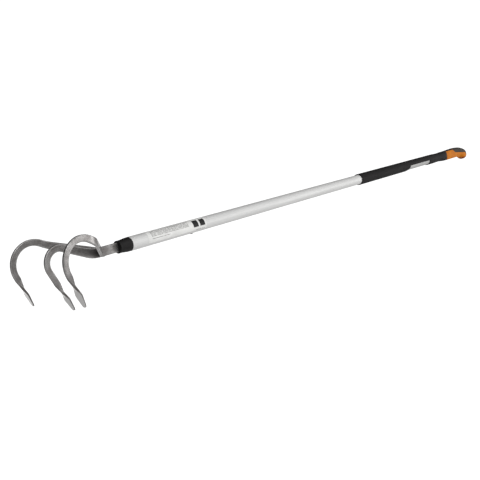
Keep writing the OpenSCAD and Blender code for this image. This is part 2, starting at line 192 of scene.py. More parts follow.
class Wire:
    """An output socket of a finish that can be used in Python expressions."""

    __add__, __radd__ = operator("ADD")
    __sub__, __rsub__ = operator("SUBTRACT")
    __mul__, __rmul__ = operator("MULTIPLY")
    __truediv__, __rtruediv__ = operator("DIVIDE")
    __mod__, __rmod__ = operator("FLOORED_MODULO")

    def __init__(self, finish, socket):
        self.finish = finish
        self.socket = socket

    def math(self, operation, first, second):
        """Adds a Math node on two values, each a wire or a number."""
        return self.finish.node("ShaderNodeMath", {"operation": operation}, {0: first, 1: second})

    def rise(self, low, high):
        """Smooth step of this value from 0 at low to 1 at high."""
        sockets = {0: self, 1: low, 2: high, 3: 0.0, 4: 1.0}
        return self.finish.node("ShaderNodeMapRange", {"interpolation_type": "SMOOTHSTEP"}, sockets)

    def window(self, low, high, soft):
        """1 where this value is between low and high, with borders that are soft on both sides."""
        return self.rise(low - soft, low + soft) * (1 - self.rise(high - soft, high + soft))


print("A wire knows", sum(name.startswith("__r") for name in vars(Wire)), "reflected operators")

# %% Finishes


class Finish:
    """A tree of shader nodes with one main shader, of a new material or of a world.

    A material's name is the record's slot that it stands for."""

    def __init__(self, slot, owner=None, shader="Principled BSDF"):
        self.slot = slot
        self.material = owner or bpy.data.materials.new(slot)
        self.material.use_nodes = True
        self.tree = self.material.node_tree
        self.shader = self.tree.nodes[shader]

    def node(self, kind, settings=None, sockets=None, out=0):
        """Adds a node, sets its settings, then its sockets, and gives one of its outputs."""
        made = self.tree.nodes.new(kind)
        for key, value in (settings or {}).items():
            setattr(made, key, value)
        for key, value in (sockets or {}).items():
            self.plug(made.inputs[key], value)
        return Wire(self, made.outputs[out])

    def plug(self, socket, value):
        """Links a wire to a socket, or sets the socket to a plain value."""
        if isinstance(value, Wire):
            self.tree.links.new(value.socket, socket)
        else:
            socket.default_value = value

    def trait(self, name, out="Fac"):
        """A trait of the piece's points, as a number or as a vector."""
        return self.node("ShaderNodeAttribute", {"attribute_name": name}, out=out)

    def place(self, stretch=(1, 1, 1), trait=None):
        """Coordinates of the object in metres, or those in a trait, stretched on each axis."""
        if trait:
            where = self.trait(trait, "Vector")
        else:
            where = self.node("ShaderNodeTexCoord", out="Object")
        return self.node("ShaderNodeVectorMath", {"operation": "MULTIPLY"}, {0: where, 1: stretch})

    def axis(self, place, name):
        """One of the three numbers of a place: X, Y or Z."""
        return self.node("ShaderNodeSeparateXYZ", None, {0: place}, out=name)

    def noise(self, place, size, detail=3.0, roughness=0.55):
        """Cloudy noise from 0 to 1 whose lumps are about size across."""
        sockets = {"Vector": place, "Scale": 1 / size, "Detail": detail, "Roughness": roughness}
        return self.node("ShaderNodeTexNoise", None, sockets)

    def blend(self, share, first, second):
        """Colour that goes from first to second as share goes from 0 to 1.

        On a Mix node, sockets 6 and 7 and output 2 are those for colours."""
        settings = {"data_type": "RGBA", "clamp_factor": True}
        return self.node("ShaderNodeMix", settings, {0: share, 6: first, 7: second}, out=2)

    def coats(self, body, *coats):
        """Colour with coats laid over it one by one, each a share from 0 to 1 and a colour."""
        for share, colour in coats:
            body = self.blend(share, body, colour)
        return body

    def bump(self, height, depth):
        """Normal of a surface whose height, from 0 to 1, stands for a real depth in metres."""
        sockets = {"Strength": 1.0, "Distance": depth, "Height": height}
        return self.node("ShaderNodeBump", None, sockets)

    def set(self, **values):
        """Sets or links the main shader's sockets, named with _ for a space."""
        for key, value in values.items():
            self.plug(self.shader.inputs[key.replace("_", " ")], value)
        return self

    def made(self):
        """Prints how large the finish has become and gives it back."""
        print("Finish", self.slot, "has", len(self.tree.nodes), "nodes")
        return self

    def dress(self, body, rough, height, depth, **values):
        """Gives the main shader a colour, a roughness, a bump and any other values."""
        normal = self.bump(height, depth)
        return self.set(Base_Color=body, Roughness=rough, Normal=normal, **values).made()


def paint(red, green, blue):
    """Linear colour from the 0 to 255 values of a screen, by the sRGB curve."""
    screen = np.array((red, green, blue)) / 255
    linear = np.where(screen <= 0.04045, screen / 12.92, ((screen + 0.055) / 1.055) ** 2.4)
    return (*linear.tolist(), 1.0)


print("Example colour:", paint(193, 117, 38))

# %% [markdown]
# ## Tine steel
#
# The tines are bent from flat bar, forged and ground at the points and left with a satin grey
# surface. Rolling leaves streaks along the bar, and corners are rubbed brighter. Near the twist and
# the weld the steel is darker, partly a dull heat tint from welding and twisting and partly painted
# shade. The leaves are pale on their broad ground faces and dark at their forged edges, partly
# their finish and partly a painted highlight on the faces and painted shade on the edges. An image
# could hold such marks. Here noise is read in the straightened bar, from a trait that gives each
# point's place across and along the bar, so streaks follow the bends. Other traits say where the
# heat tint and its painted shade lie, and where the leaves' painted highlight and painted shade
# lie.

# %% Tine steel
STREAK_STRETCH = 0.045


def tine_steel():
    """Satin steel: streaks, marks, heat tint and painted shade, a painted leaf highlight, rubs."""
    steel = Finish("tine_steel")
    bar = steel.place(trait="bar_place")
    drawn = steel.place((1, 1, STREAK_STRETCH), trait="bar_place")
    corner, heat_tint_and_shade = steel.trait("corner"), steel.trait("heat_tint_and_shade")
    streaks = steel.noise(drawn, 0.9 * MM, 4.0, 0.6)
    clouds = steel.noise(bar, 16 * MM, 4.0, 0.55)
    grain = steel.noise(bar, 0.6 * MM, 2.0, 0.5)
    pits = steel.noise(bar, 2.2 * MM, 2.0, 0.5).rise(0.66, 0.74)
    body = steel.coats(
        steel.blend(clouds.rise(0.34, 0.68), paint(108, 104, 102), paint(146, 144, 143)),
        (0.3 * streaks.rise(0.3, 0.75), paint(182, 181, 180)),
        (0.35 * pits, paint(84, 80, 78)),
        # Painted shade: the bar is darker grey near the twist and the weld, over a dull heat tint.
        (0.5 * heat_tint_and_shade, paint(90, 87, 86)),
        # Painted highlight on the leaves' broad ground faces, and painted shade on their forged
        # edges.
        (0.8 * steel.trait("ground_and_highlight"), paint(206, 205, 204)),
        (0.8 * steel.trait("forged_and_shade"), paint(86, 82, 80)),
        (corner * (0.1 + 0.3 * clouds), paint(196, 195, 194)),
    )
    rough = 0.34 + 0.16 * streaks + 0.08 * corner - 0.1 * clouds + 0.2 * heat_tint_and_shade
    height = 0.5 * streaks + 0.3 * grain + 0.35 * clouds - 0.5 * pits
    return steel.dress(body, rough, height, 0.12 * MM, Metallic=0.92)


steel_finish = tine_steel()

# %% [markdown]
# ## Tine paths
#
# Each tine is one flat bar, bent a few times. A smith reads it as a bend table: go straight, bend
# to a new direction on a radius, go straight again. A hand-drawn curve could follow the bar too,
# but the path is made as the smith does it, so that every bend is a true arc. A bend of radius r
# from direction h to direction g moves by r sin a along h and by r (1 - cos a) across it. The
# outer hooks are toed out a little, which turns their flat sides to the light.

# %% Bends
STEP = 0.8


def heading(plan, rise):
    """Direction of a bar that points ahead, turned aside by plan and up by rise, in degrees."""
    plan, rise = np.radians(plan), np.radians(rise)
    return np.array((-np.cos(rise) * np.cos(plan), np.cos(rise) * np.sin(plan), np.sin(rise)))


def straight(start, direction, length):
    """Even steps along a direction, without the start."""
    steps = max(1, round(length / STEP))
    return start + direction * np.linspace(0, length, steps + 1)[1:, None]


def bend(start, before, after, radius):
    """Even steps on an arc from one direction to another, without the start."""
    turn = np.arccos(before @ after)
    inwards = unit(after - (after @ before) * before)
    angle = np.linspace(0, turn, max(2, round(turn * radius / STEP)) + 1)[1:, None]
    return start + radius * (before * np.sin(angle) + inwards * (1 - np.cos(angle)))


def bent_path(start, table, leg):
    """Path from a bend table, whose rows are (straight length, next direction, radius), and a leg.

    It sets out straight ahead and ends with the leg, which runs in the last direction."""
    path, direction = [np.array(start, dtype=float)[None, :]], heading(0, 0)
    for length, after, radius in table:
        path.append(straight(path[-1][-1], direction, length))
        path.append(bend(path[-1][-1], direction, after, radius))
        direction = after
    return np.vstack(path + [straight(path[-1][-1], direction, leg)])


print("Straight ahead is", heading(0, 0))

# %% Tine paths
NOSE_LENGTH, SHANK_LENGTH, TANG_LENGTH = 24.5, 31.5, 74
BAR_THICKNESS, BAR_GAP = 4.5, 0.1
MIDDLE_ROOT, MIDDLE_RISE, MIDDLE_RISE_RADIUS = 6, 22, 56
MIDDLE_RUN, MIDDLE_LEAN, MIDDLE_HOOK_RADIUS, MIDDLE_LEG = 45.5, 23, 22.5, 70.5
OUTER_ROOT, OUTER_FAN, OUTER_RISE, OUTER_FAN_RADIUS = 1, 49.5, 18.5, 8.5
OUTER_RUN, OUTER_TOE, OUTER_CROWN, OUTER_TURN_RADIUS = 62, 5.5, 27.5, 31.5
OUTER_TOP, OUTER_LEAN, OUTER_HOOK_RADIUS, OUTER_LEG = 1, 18.5, 34.5, 52.5
root_face = -NOSE_LENGTH - SHANK_LENGTH
tang_end = TANG_LENGTH - NOSE_LENGTH
shank_run = tang_end - root_face


def middle_path():
    """Centre line of the middle tine, from the end of its shank in the collar to its tip."""
    table = [
        (shank_run + MIDDLE_ROOT, heading(0, MIDDLE_RISE), MIDDLE_RISE_RADIUS),
        (MIDDLE_RUN, heading(0, -90 - MIDDLE_LEAN), MIDDLE_HOOK_RADIUS),
    ]
    return bent_path((tang_end, 0, 0), table, MIDDLE_LEG)


def outer_path(side):
    """Centre line of an outer tine, 1 for right and -1 for left, from its root to its tip."""
    table = [
        (OUTER_ROOT, heading(side * OUTER_FAN, OUTER_RISE), OUTER_FAN_RADIUS),
        (OUTER_RUN, heading(side * OUTER_TOE, OUTER_CROWN), OUTER_TURN_RADIUS),
        (OUTER_TOP, heading(side * OUTER_TOE, -90 - OUTER_LEAN), OUTER_HOOK_RADIUS),
    ]
    return bent_path((root_face, side * (BAR_THICKNESS + BAR_GAP), 0), table, OUTER_LEG)


print("Path points:", len(middle_path()), "in the middle and", len(outer_path(1)), "outside")

# %% [markdown]
# ## Tine bars
#
# The bar stands on edge. It gets lower towards the hook, narrows to a waist, turns by about a
# right angle and opens into a leaf with a blunt tip. Cutting it from a block would need many
# tools. Here one rounded rectangle is carried along the path, and its height, thickness and turn
# change on the way.

# %% Bar section
CORNER_SHARE, CORNER_LIMIT = 0.3, 0.45
CORNER_POINTS, FACE_POINTS = 6, 9


def rounded_bar(width, thickness):
    """Rounded rectangles, one per row: four corner arcs with even points on the broad faces.

    Gives the places across the thickness and the width, and 1 where a place is on a corner."""
    width, thickness = width[:, None], thickness[:, None]
    radius = np.minimum(CORNER_SHARE * thickness, CORNER_LIMIT * width)
    arc = np.linspace(0, np.pi / 2, CORNER_POINTS)[None, :]
    flat = np.linspace(-1, 1, FACE_POINTS)[None, 1:-1]
    across, along, corner = [], [], []
    for quarter, (side, end) in enumerate(((1, 1), (-1, 1), (-1, -1), (1, -1))):
        angle = arc + quarter * np.pi / 2
        across.append(side * (thickness / 2 - radius) + radius * np.cos(angle))
        along.append(end * (width / 2 - radius) + radius * np.sin(angle))
        corner.append(np.sin(2 * arc) ** 0.5)
        if side != end:
            across.append(np.broadcast_to(side * thickness / 2, (len(width), flat.size)))
            along.append(side * flat * (width / 2 - radius))
            corner.append(np.zeros_like(flat))
    across, along, corner = (np.concatenate(part, axis=1) for part in (across, along, corner))
    return across, along, np.broadcast_to(corner, across.shape)


print("A bar section has", rounded_bar(np.ones(1), np.ones(1))[0].size, "points")

# %% Bar along the path
LEAF_LENGTH, LEAF_SHOULDER, LEAF_WIDTH, LEAF_THICKNESS = 36, 20, 10.9, 3.0
WAIST_WIDTH, TWIST_LENGTH = 6.4, 34
TIP_WIDTH, TIP_THICKNESS, TIP_ROUND, TIP_END_SHARE = 6.2, 1.8, 3.0, 0.6
BAR_ROOT_HEIGHT, BAR_FULL_LENGTH, BAR_HOOK_HEIGHT = 15.6, 18, 9.4
PLUMB_LIMIT = 1e-4


def bar_sizes(run, left, taper):
    """Width and thickness of the bar, on straight lines between the root, waist, leaf and tip.

    run is the distance from the root and left the distance to the tip."""
    taper_places = (BAR_FULL_LENGTH, BAR_FULL_LENGTH + taper)
    body = np.interp(run, taper_places, (BAR_ROOT_HEIGHT, BAR_HOOK_HEIGHT))
    neck_places = (LEAF_LENGTH, LEAF_LENGTH + TWIST_LENGTH)
    neck = np.interp(left, neck_places, (WAIST_WIDTH, BAR_ROOT_HEIGHT))
    leaf_places = (0, TIP_ROUND, LEAF_SHOULDER, LEAF_LENGTH)
    leaf_widths = (TIP_WIDTH * TIP_END_SHARE, TIP_WIDTH, LEAF_WIDTH, WAIST_WIDTH)
    leaf = np.interp(left, leaf_places, leaf_widths)
    width = np.where(left > LEAF_LENGTH, np.minimum(body, neck), leaf)
    thick_places = (0, LEAF_SHOULDER, LEAF_LENGTH)
    thickness = np.interp(left, thick_places, (TIP_THICKNESS, LEAF_THICKNESS, BAR_THICKNESS))
    return width, thickness


def bar_axes(path, run, left, twist):
    """Directions of the bar's thickness and width, square to the path and turned by the twist.

    The thickness is level and the width upright until the bar starts to twist."""
    ahead = unit(np.gradient(path, run, axis=0))
    sideways = np.stack((ahead[:, 1], -ahead[:, 0], 0 * run), axis=1)
    sideways = np.where(sideways[:, 1:2] < 0, -sideways, sideways)
    plumb = np.linalg.norm(sideways, axis=1, keepdims=True) < PLUMB_LIMIT
    level = unit(np.where(plumb, (0.0, 1.0, 0.0), sideways))
    up = np.cross(level, ahead)
    turned_share = ease((LEAF_LENGTH + TWIST_LENGTH / 2 - left) / TWIST_LENGTH)
    turn = np.radians(twist) * turned_share[:, None]
    thick_axis = level * np.cos(turn) + up * np.sin(turn)
    wide_axis = up * np.cos(turn) - level * np.sin(turn)
    return thick_axis[:, None, :], wide_axis[:, None, :]


print("Leaf:", LEAF_LENGTH, "mm long and", LEAF_WIDTH, "mm wide")

# %% Swept tines
LEFT_TWIST, MIDDLE_TWIST, RIGHT_TWIST = 106, 101, 93
OUTER_TAPER, MIDDLE_TAPER = 108, 88
FACE_START, FACE_FADE = 0.8, 0.2
LEAF_MARK_START, LEAF_MARK_FADE = 4, 10
TWIST_TINT_AND_SHADE, TWIST_TINT_AND_SHADE_REACH, WELD_TINT_AND_SHADE, WELD_TINT_AND_SHADE_REACH = 12, 9, 2, 13


def capped(grid, first, last):
    """Grid with one more row at each end, in which every column has the same value."""
    row = np.ones_like(grid[:1])
    return np.concatenate((row * first, grid, row * last))


def swept_tine(node, path, twist, taper, shank):
    """Bar carried along a path: each section lies across the path, level or turned by the twist.

    The heat tint and painted shade fade as a bell curve, exp(-distance^2), on both sides of the
    twist and of the weld. Leaf faces carry a painted highlight and leaf edges carry painted shade."""
    pace = np.linalg.norm(np.diff(path, axis=0), axis=1)
    run = np.concatenate(([0], np.cumsum(pace)))
    left = run[-1] - run
    width, thickness = bar_sizes(run - shank, left, taper)
    across, along, corner = rounded_bar(width, thickness)
    thick_axis, wide_axis = bar_axes(path, run, left, twist)
    points = path[:, None, :] + thick_axis * across[..., None] + wide_axis * along[..., None]
    run_grid = np.broadcast_to(run[:, None], across.shape)
    broad = ease((np.abs(across) / (thickness[:, None] / 2) - FACE_START) / FACE_FADE)
    on_leaf = ease((LEAF_LENGTH + LEAF_MARK_START - left) / LEAF_MARK_FADE)[:, None]
    # Bell curves of the darker heat tint and painted shade, at the twist and at the weld.
    twist_tint_and_shade = np.exp(-(((left - LEAF_LENGTH - TWIST_TINT_AND_SHADE) / TWIST_TINT_AND_SHADE_REACH) ** 2))
    weld_tint_and_shade = np.exp(-(((run - shank - WELD_TINT_AND_SHADE) / WELD_TINT_AND_SHADE_REACH) ** 2))
    tint_and_shade = np.broadcast_to(np.maximum(twist_tint_and_shade, weld_tint_and_shade)[:, None], across.shape)
    place = np.stack((across, along, run_grid), axis=-1)
    traits = {
        "bar_place": capped(place, (0, 0, 0), (0, 0, run[-1])) * MM,
        "corner": capped(corner * (1 - on_leaf), 0, 0),
        # Painted highlight on the leaf faces and painted shade on the leaf edges, over their
        # finish.
        "ground_and_highlight": capped(broad * on_leaf, 0, 0),
        "forged_and_shade": capped((1 - broad) * on_leaf, 0, 1),
        "heat_tint_and_shade": capped(tint_and_shade, 0, 0),
    }
    grid = capped(points, path[0], path[-1])
    ringed_piece("steel_" + node, [grid], steel_finish, node, traits)


swept_tine("tine_left", outer_path(-1), LEFT_TWIST, OUTER_TAPER, 0)
swept_tine("tine_middle", middle_path(), MIDDLE_TWIST, MIDDLE_TAPER, shank_run)
swept_tine("tine_right", outer_path(1), RIGHT_TWIST, OUTER_TAPER, 0)

# %% [markdown]
# ## Weld beads
#
# The outer bars end beside the middle bar's shank and are welded to it. A fillet weld is laid as a
# row of overlapping drops, so its face has ripples. Bump alone could fake them, but not in the
# outline. The bead is made as a quarter round carried up the corner, whose radius dips a little
# between the drops and falls away at both ends.

# %% Weld metal


def weld_metal():
    """Rough weld metal: grey, paler in soft clouds and dark in its coarse grain."""
    weld = Finish("weld_metal")
    clouds = weld.noise(weld.place(), 6 * MM)
    grain = weld.noise(weld.place(), 0.7 * MM)
    body = weld.coats(
        weld.blend(clouds.rise(0.35, 0.7), paint(120, 116, 112), paint(162, 158, 152)),
        (0.5 * grain.rise(0.55, 0.75), paint(96, 92, 92)),
    )
    return weld.dress(body, 0.42 + 0.2 * grain, grain, 0.15 * MM, Metallic=0.85)


weld_finish = weld_metal()

# %% Weld beads
WELD_RADIUS, WELD_LENGTH, WELD_DROP = 3.4, 13.6, 1.9
RIPPLE_BASE, RIPPLE_HEIGHT, RIPPLE_SAG, BEAD_END_POWER = 0.94, 0.055, 0.5, 7
BEAD_ROWS, BEAD_COLUMNS = 57, 15


def weld_bead(side):
    """Grid of a bead: height up the corner, angle round the quarter, and a rippled radius.

    Ripples are |sin| waves, one per drop, and the ends are round. The last column is the corner
    itself, so that each row is a closed wedge."""
    height = np.linspace(-0.5, 0.5, BEAD_ROWS)[:, None]
    angle = np.linspace(0, np.pi / 2, BEAD_COLUMNS)[None, :]
    drops = np.pi * height * WELD_LENGTH / WELD_DROP + RIPPLE_SAG * np.sin(2 * angle)
    ends = np.sqrt(np.clip(1 - np.abs(2 * height) ** BEAD_END_POWER, 0, 1))
    radius = WELD_RADIUS * (RIPPLE_BASE + RIPPLE_HEIGHT * np.abs(np.sin(drops))) * ends
    out = np.concatenate((radius * np.cos(angle), 0 * height), axis=1)
    away = np.concatenate((radius * np.sin(angle), 0 * height), axis=1)
    up = np.broadcast_to(height * WELD_LENGTH, out.shape)
    return np.stack((root_face + out, side * (BAR_THICKNESS / 2 + away), up), axis=-1)


ringed_piece("weld_fillets", [weld_bead(side) for side in (-1, 1)], weld_finish, "weld_beads")

# %% [markdown]
# ## Turned profiles
#
# The collar and the tube are round. Blender's Spin or Screw could turn them, but a formula keeps
# every ring where the CAD has it. A lathe cuts a round piece from a profile, and so does this
# helper: a row of places along the axis, each with a radius, is turned about the shaft. Real edges
# are never sharp, so a second helper replaces each corner of a profile by a small curve.

# %% Turned profiles
ROUND_POINTS, SOFT_STEPS = 128, 6
ring_angle = np.linspace(0, 2 * np.pi, ROUND_POINTS, endpoint=False)


def softened(corners, radii):
    """Profile whose corners are replaced by curves that start and end at a radius from the corner.

    Each curve is a parabola: it leaves along the first side and arrives along the second."""
    corners = np.array(corners, dtype=float)
    profile = [corners[:1]]
    share = np.linspace(0, 1, SOFT_STEPS)[:, None]
    for before, corner, after, radius in zip(corners, corners[1:], corners[2:], radii):
        start = corner + unit(before - corner) * radius
        end = corner + unit(after - corner) * radius
        leave, arrive = (1 - share) ** 2 * start, share**2 * end
        profile.append(leave + 2 * share * (1 - share) * corner + arrive)
    profile.append(corners[-1:])
    return np.vstack(profile)


def turned(profile):
    """Grid of a profile of (along, radius) places turned about the shaft's axis."""
    along, radius = profile[:, :1], profile[:, 1:]
    x = np.broadcast_to(along, (len(profile), ROUND_POINTS))
    return np.stack((x, radius * np.cos(ring_angle), radius * np.sin(ring_angle)), axis=-1)


print("A softened corner has", len(softened([(0, 0), (0, 1), (1, 1)], [0.5])), "places")

# %% [markdown]
# ## Nose collar
#
# The collar is moulded in matt black plastic. It has a bead round its mouth, tapers up to the
# tube's size and carries on as a spigot inside the tube. The flat shank goes into a slot in its
# face. A boolean could cut that slot and would leave ragged faces. Instead, the rings of the face
# change from circles to the slot's rectangle, which a superellipse gives. Its finish has a fine
# moulded grain.

# %% Black plastic


def black_plastic():
    """Matt black plastic with a fine sparked grain and a few paler scuffs."""
    plastic = Finish("black_plastic")
    grain = plastic.noise(plastic.place(), 0.5 * MM, 2.0)
    clouds = plastic.noise(plastic.place(), 14 * MM)
    scuffs = plastic.noise(plastic.place((0.35, 1, 1)), 1.8 * MM).rise(0.62, 0.75)
    body = plastic.coats(
        plastic.blend(clouds.rise(0.35, 0.7), paint(8, 7, 7), paint(14, 12, 12)),
        (0.2 * scuffs, paint(60, 59, 58)),
    )
    rough = 0.52 + 0.16 * grain - 0.08 * scuffs
    return plastic.dress(body, rough, grain, 0.09 * MM, Specular_IOR_Level=0.25)


plastic_finish = black_plastic()

# %% Sections across the shaft
TINY = 1e-6


def section(x, angle, half_width, low, high, power):
    """Points of superellipses across the shaft, at angles from level (0) to the top (90 degrees).

    radius = (|cos a / half width|^power + |sin a / half height|^power)^(-1 / power), about the
    middle between low and high. A power of 2 is an ellipse, and a high power is a rectangle."""
    half_height = np.maximum((high - low) / 2, TINY)
    half_width = np.maximum(half_width, TINY)
    wide, tall = np.abs(np.cos(angle) / half_width), np.abs(np.sin(angle) / half_height)
    radius = (wide**power + tall**power) ** (-1 / power)
    y, z = radius * np.cos(angle), (low + high) / 2 + radius * np.sin(angle)
    return np.stack((np.broadcast_to(x, radius.shape), y, z), axis=-1)


print("A circle's first point:", section(0.0, ring_angle, 1, -1, 1, 2)[0])

# %% Nose collar
TUBE_RADIUS, TUBE_WALL, TUBE_LENGTH = 12.0, 1.2, 1363
NOSE_TAPER, NOSE_MOUTH, NOSE_BACK = 20, 10.1, 11.8
NOSE_BEAD_HEIGHT, NOSE_BEAD_LENGTH, NOSE_BEAD_FOOT, NOSE_LIP = 0.4, 2.6, 0.05, 1.2
SPIGOT_LENGTH, SPIGOT_GAP = 168, 0.1
SLOT_SQUARENESS, SLOT_STRAIGHT, SLOT_ROUND = 14, 6, 0.5
SLOT_FLARES = (1, 1, 1, 1.06, 1.14)
COLLAR_ROUNDS = (0.7, 0.6, 0.5, 4, 0.5, 0.2, 0.8)
bore_radius = TUBE_RADIUS - TUBE_WALL
spigot_radius = bore_radius - SPIGOT_GAP


def collar():
    """Rows of the collar: the slot from its end to its mouth, the face, the outside and the spigot.

    The slot's rings open by a few hundredths at the face, which rounds its rim."""
    half_slot = BAR_THICKNESS / 2 + SPIGOT_GAP
    half_height = BAR_ROOT_HEIGHT / 2 + SPIGOT_GAP
    face = -NOSE_LENGTH
    bead_top, bead_end = NOSE_MOUTH + NOSE_BEAD_HEIGHT, face + NOSE_BEAD_LENGTH
    corners = [
        (face, NOSE_MOUTH - NOSE_LIP),
        (face, bead_top),
        (bead_end, bead_top),
        (bead_end + NOSE_BEAD_HEIGHT, NOSE_MOUTH + NOSE_BEAD_FOOT),
        (face + NOSE_TAPER, NOSE_BACK),
        (0, NOSE_BACK),
        (0, spigot_radius),
        (SPIGOT_LENGTH, spigot_radius),
        (SPIGOT_LENGTH, 0),
    ]
    places = (tang_end, face + SLOT_STRAIGHT, face + SLOT_ROUND, face, face)
    slot = [
        section(x, ring_angle, half_slot * s, -half_height * s, half_height * s, SLOT_SQUARENESS)
        for x, s in zip(places, SLOT_FLARES)
    ]
    slot_end = np.broadcast_to((tang_end, 0.0, 0.0), slot[0].shape)
    return np.concatenate((np.stack([slot_end, *slot]), turned(softened(corners, COLLAR_ROUNDS))))


ringed_piece("collar", [collar()], plastic_finish, "nose_collar")

# %% [markdown]
# ## Shaft tube
#
# The tube is drawn aluminium with a satin surface. Drawing leaves very fine lines along it, and
# in the grip's window it is darkened by painted shade. A plain cylinder would do from far away. The
# mesh here
# is a wall with an outside, a bore and two softened mouths, cut into short lengths so that no face
# is long and thin. The lines are noise that is stretched along the shaft.

# %% Tube metal
# Places along the shaft, in metres, about the grip's window, where painted shade darkens the tube.
WINDOW_SHADE_START, WINDOW_SHADE_FULL, WINDOW_SHADE_FADE, WINDOW_SHADE_END = 0.98, 1.04, 1.18, 1.2


def tube_metal():
    """Satin aluminium with fine drawn lines, handling marks and painted shade in the grip's window.
    """
    metal = Finish("tube_metal")
    lines = metal.noise(metal.place((0.006, 1, 1)), 0.5 * MM, 4.0, 0.6)
    bands = metal.noise(metal.place((0.02, 1, 1)), 4 * MM, 2.0)
    marks = metal.noise(metal.place(), 30 * MM, 4.0)
    along = metal.axis(metal.place(), "X")
    # Painted shade: the tube is darker where the grip's window is.
    dust_and_shade = along.rise(WINDOW_SHADE_START, WINDOW_SHADE_FULL) * (1 - along.rise(WINDOW_SHADE_FADE, WINDOW_SHADE_END))
    body = metal.coats(
        metal.blend(lines.rise(0.3, 0.7), paint(199, 199, 198), paint(214, 214, 213)),
        (0.25 * marks.rise(0.55, 0.8), paint(190, 189, 188)),
        (dust_and_shade * (0.4 + 0.4 * marks), paint(140, 139, 137)),
    )
    rough = 0.48 + 0.1 * lines + 0.06 * bands
    return metal.dress(body, rough, lines, 0.03 * MM, Metallic=0.25)


tube_finish = tube_metal()

# %% Shaft tube
MOUTH_SOFTNESS, TUBE_ROW = 0.4, 18


def tube_wall():
    """Closed wall of the tube as a profile: the outside from the front, then the bore back."""
    count = round(TUBE_LENGTH / TUBE_ROW)
    outside = np.linspace(MOUTH_SOFTNESS, TUBE_LENGTH - MOUTH_SOFTNESS, count)
    corners = [(0, bore_radius), (0, TUBE_RADIUS), (MOUTH_SOFTNESS * 2, TUBE_RADIUS)]
    mouth = softened(corners, [MOUTH_SOFTNESS])
    far = mouth[::-1] * (-1, 1) + (TUBE_LENGTH, 0)
    body = np.stack((outside[1:-1], np.full(count - 2, TUBE_RADIUS)), axis=1)
    bore = np.stack((outside[::-1], np.full(count, bore_radius)), axis=1)
    return np.vstack((mouth, body, far, bore, mouth[:1]))


ringed_piece("tube", [turned(tube_wall())], tube_finish, "shaft_tube")

# %% [markdown]
# ## Lock rivet
#
# A rivet from below locks the tube to the collar's spigot. A squashed sphere could stand for it,
# but its head is a low dome that sits on the round tube, so its rim isn't level: each place of the
# dome hangs below the tube's own surface. It is darkened steel, rubbed bright in small spots.

# %% Dark steel


def dark_steel():
    """Darkened steel with a fine grain and small bright rubs."""
    steel = Finish("dark_steel")
    grain = steel.noise(steel.place(), 0.6 * MM)
    rubs = steel.noise(steel.place(), 2 * MM, 2.0).rise(0.58, 0.75)
    body = steel.blend(0.6 * rubs, paint(92, 90, 89), paint(150, 148, 146))
    return steel.dress(body, 0.36 + 0.2 * grain, grain, 0.06 * MM, Metallic=0.9)


dark_finish = dark_steel()

# %% Lock rivet
RIVET_X, RIVET_RADIUS, RIVET_HEAD, RIVET_HEAD_HEIGHT, RIVET_BITE = 146, 1.6, 3.2, 1.2, 2.0
RIVET_ROUND_POINTS, DOME_ROWS, DOME_FULLNESS = 48, 14, 0.98


def rivet():
    """Rows of the rivet about its upright axis: the dome, its rim on the tube, and the shank.

    The dome hangs by head height times the root of 1 - distance squared below the tube, whose
    underside is at -sqrt(radius^2 - y^2)."""
    angle = np.linspace(0, 2 * np.pi, RIVET_ROUND_POINTS, endpoint=False)
    circle = np.stack((np.cos(angle), np.sin(angle), 0 * angle), axis=-1)
    share = np.sin(np.linspace(0, np.pi / 2, DOME_ROWS))[:, None]
    dome = RIVET_HEAD * share[..., None] * circle
    tube = -np.sqrt(TUBE_RADIUS**2 - dome[..., 1] ** 2)
    dome[..., 2] = tube - RIVET_HEAD_HEIGHT * np.sqrt(1 - share**2 * DOME_FULLNESS)
    rim = dome[-1] * (1, 1, 0) + tube[-1][:, None] * (0, 0, 1)
    top = -spigot_radius + RIVET_BITE
    shank = [RIVET_RADIUS * circle + (0, 0, height) for height in (-TUBE_RADIUS, top)]
    rows = np.concatenate((dome, np.stack((rim, *shank, 0 * circle + (0, 0, top)))))
    return rows + (RIVET_X, 0, 0)


ringed_piece("rivet", [rivet()], dark_finish, "lock_rivet")

# %% [markdown]
# ## Label film
#
# A clear-coated film is stuck on the tube behind the collar. It carries rows of plain grey bars and
# two blank black blocks. They could be an image, but a finish that works them out stays sharp. The
# film is a thin shell over the tube with round corners, and its finish reads a trait with the
# place on the film.

# %% Label print
ROW_PITCH, ROW_LOW, ROW_HIGH = 2.05, 0.55, 1.45
TEXT_AREAS = ((8.0, 98.0, 10.1, 22.3), (8.0, 50.0, 5.9, 8.1), (116.0, 140.0, 0.3, 2.1))
BLOCK_AREAS = ((109.2, 122.4, 6.4, 20.0), (126.6, 139.6, 6.4, 20.0))
INK_SOFTNESS, TEXT_END_SOFTNESS, TEXT_ROW_SOFTNESS = 0.12, 0.3, 0.1


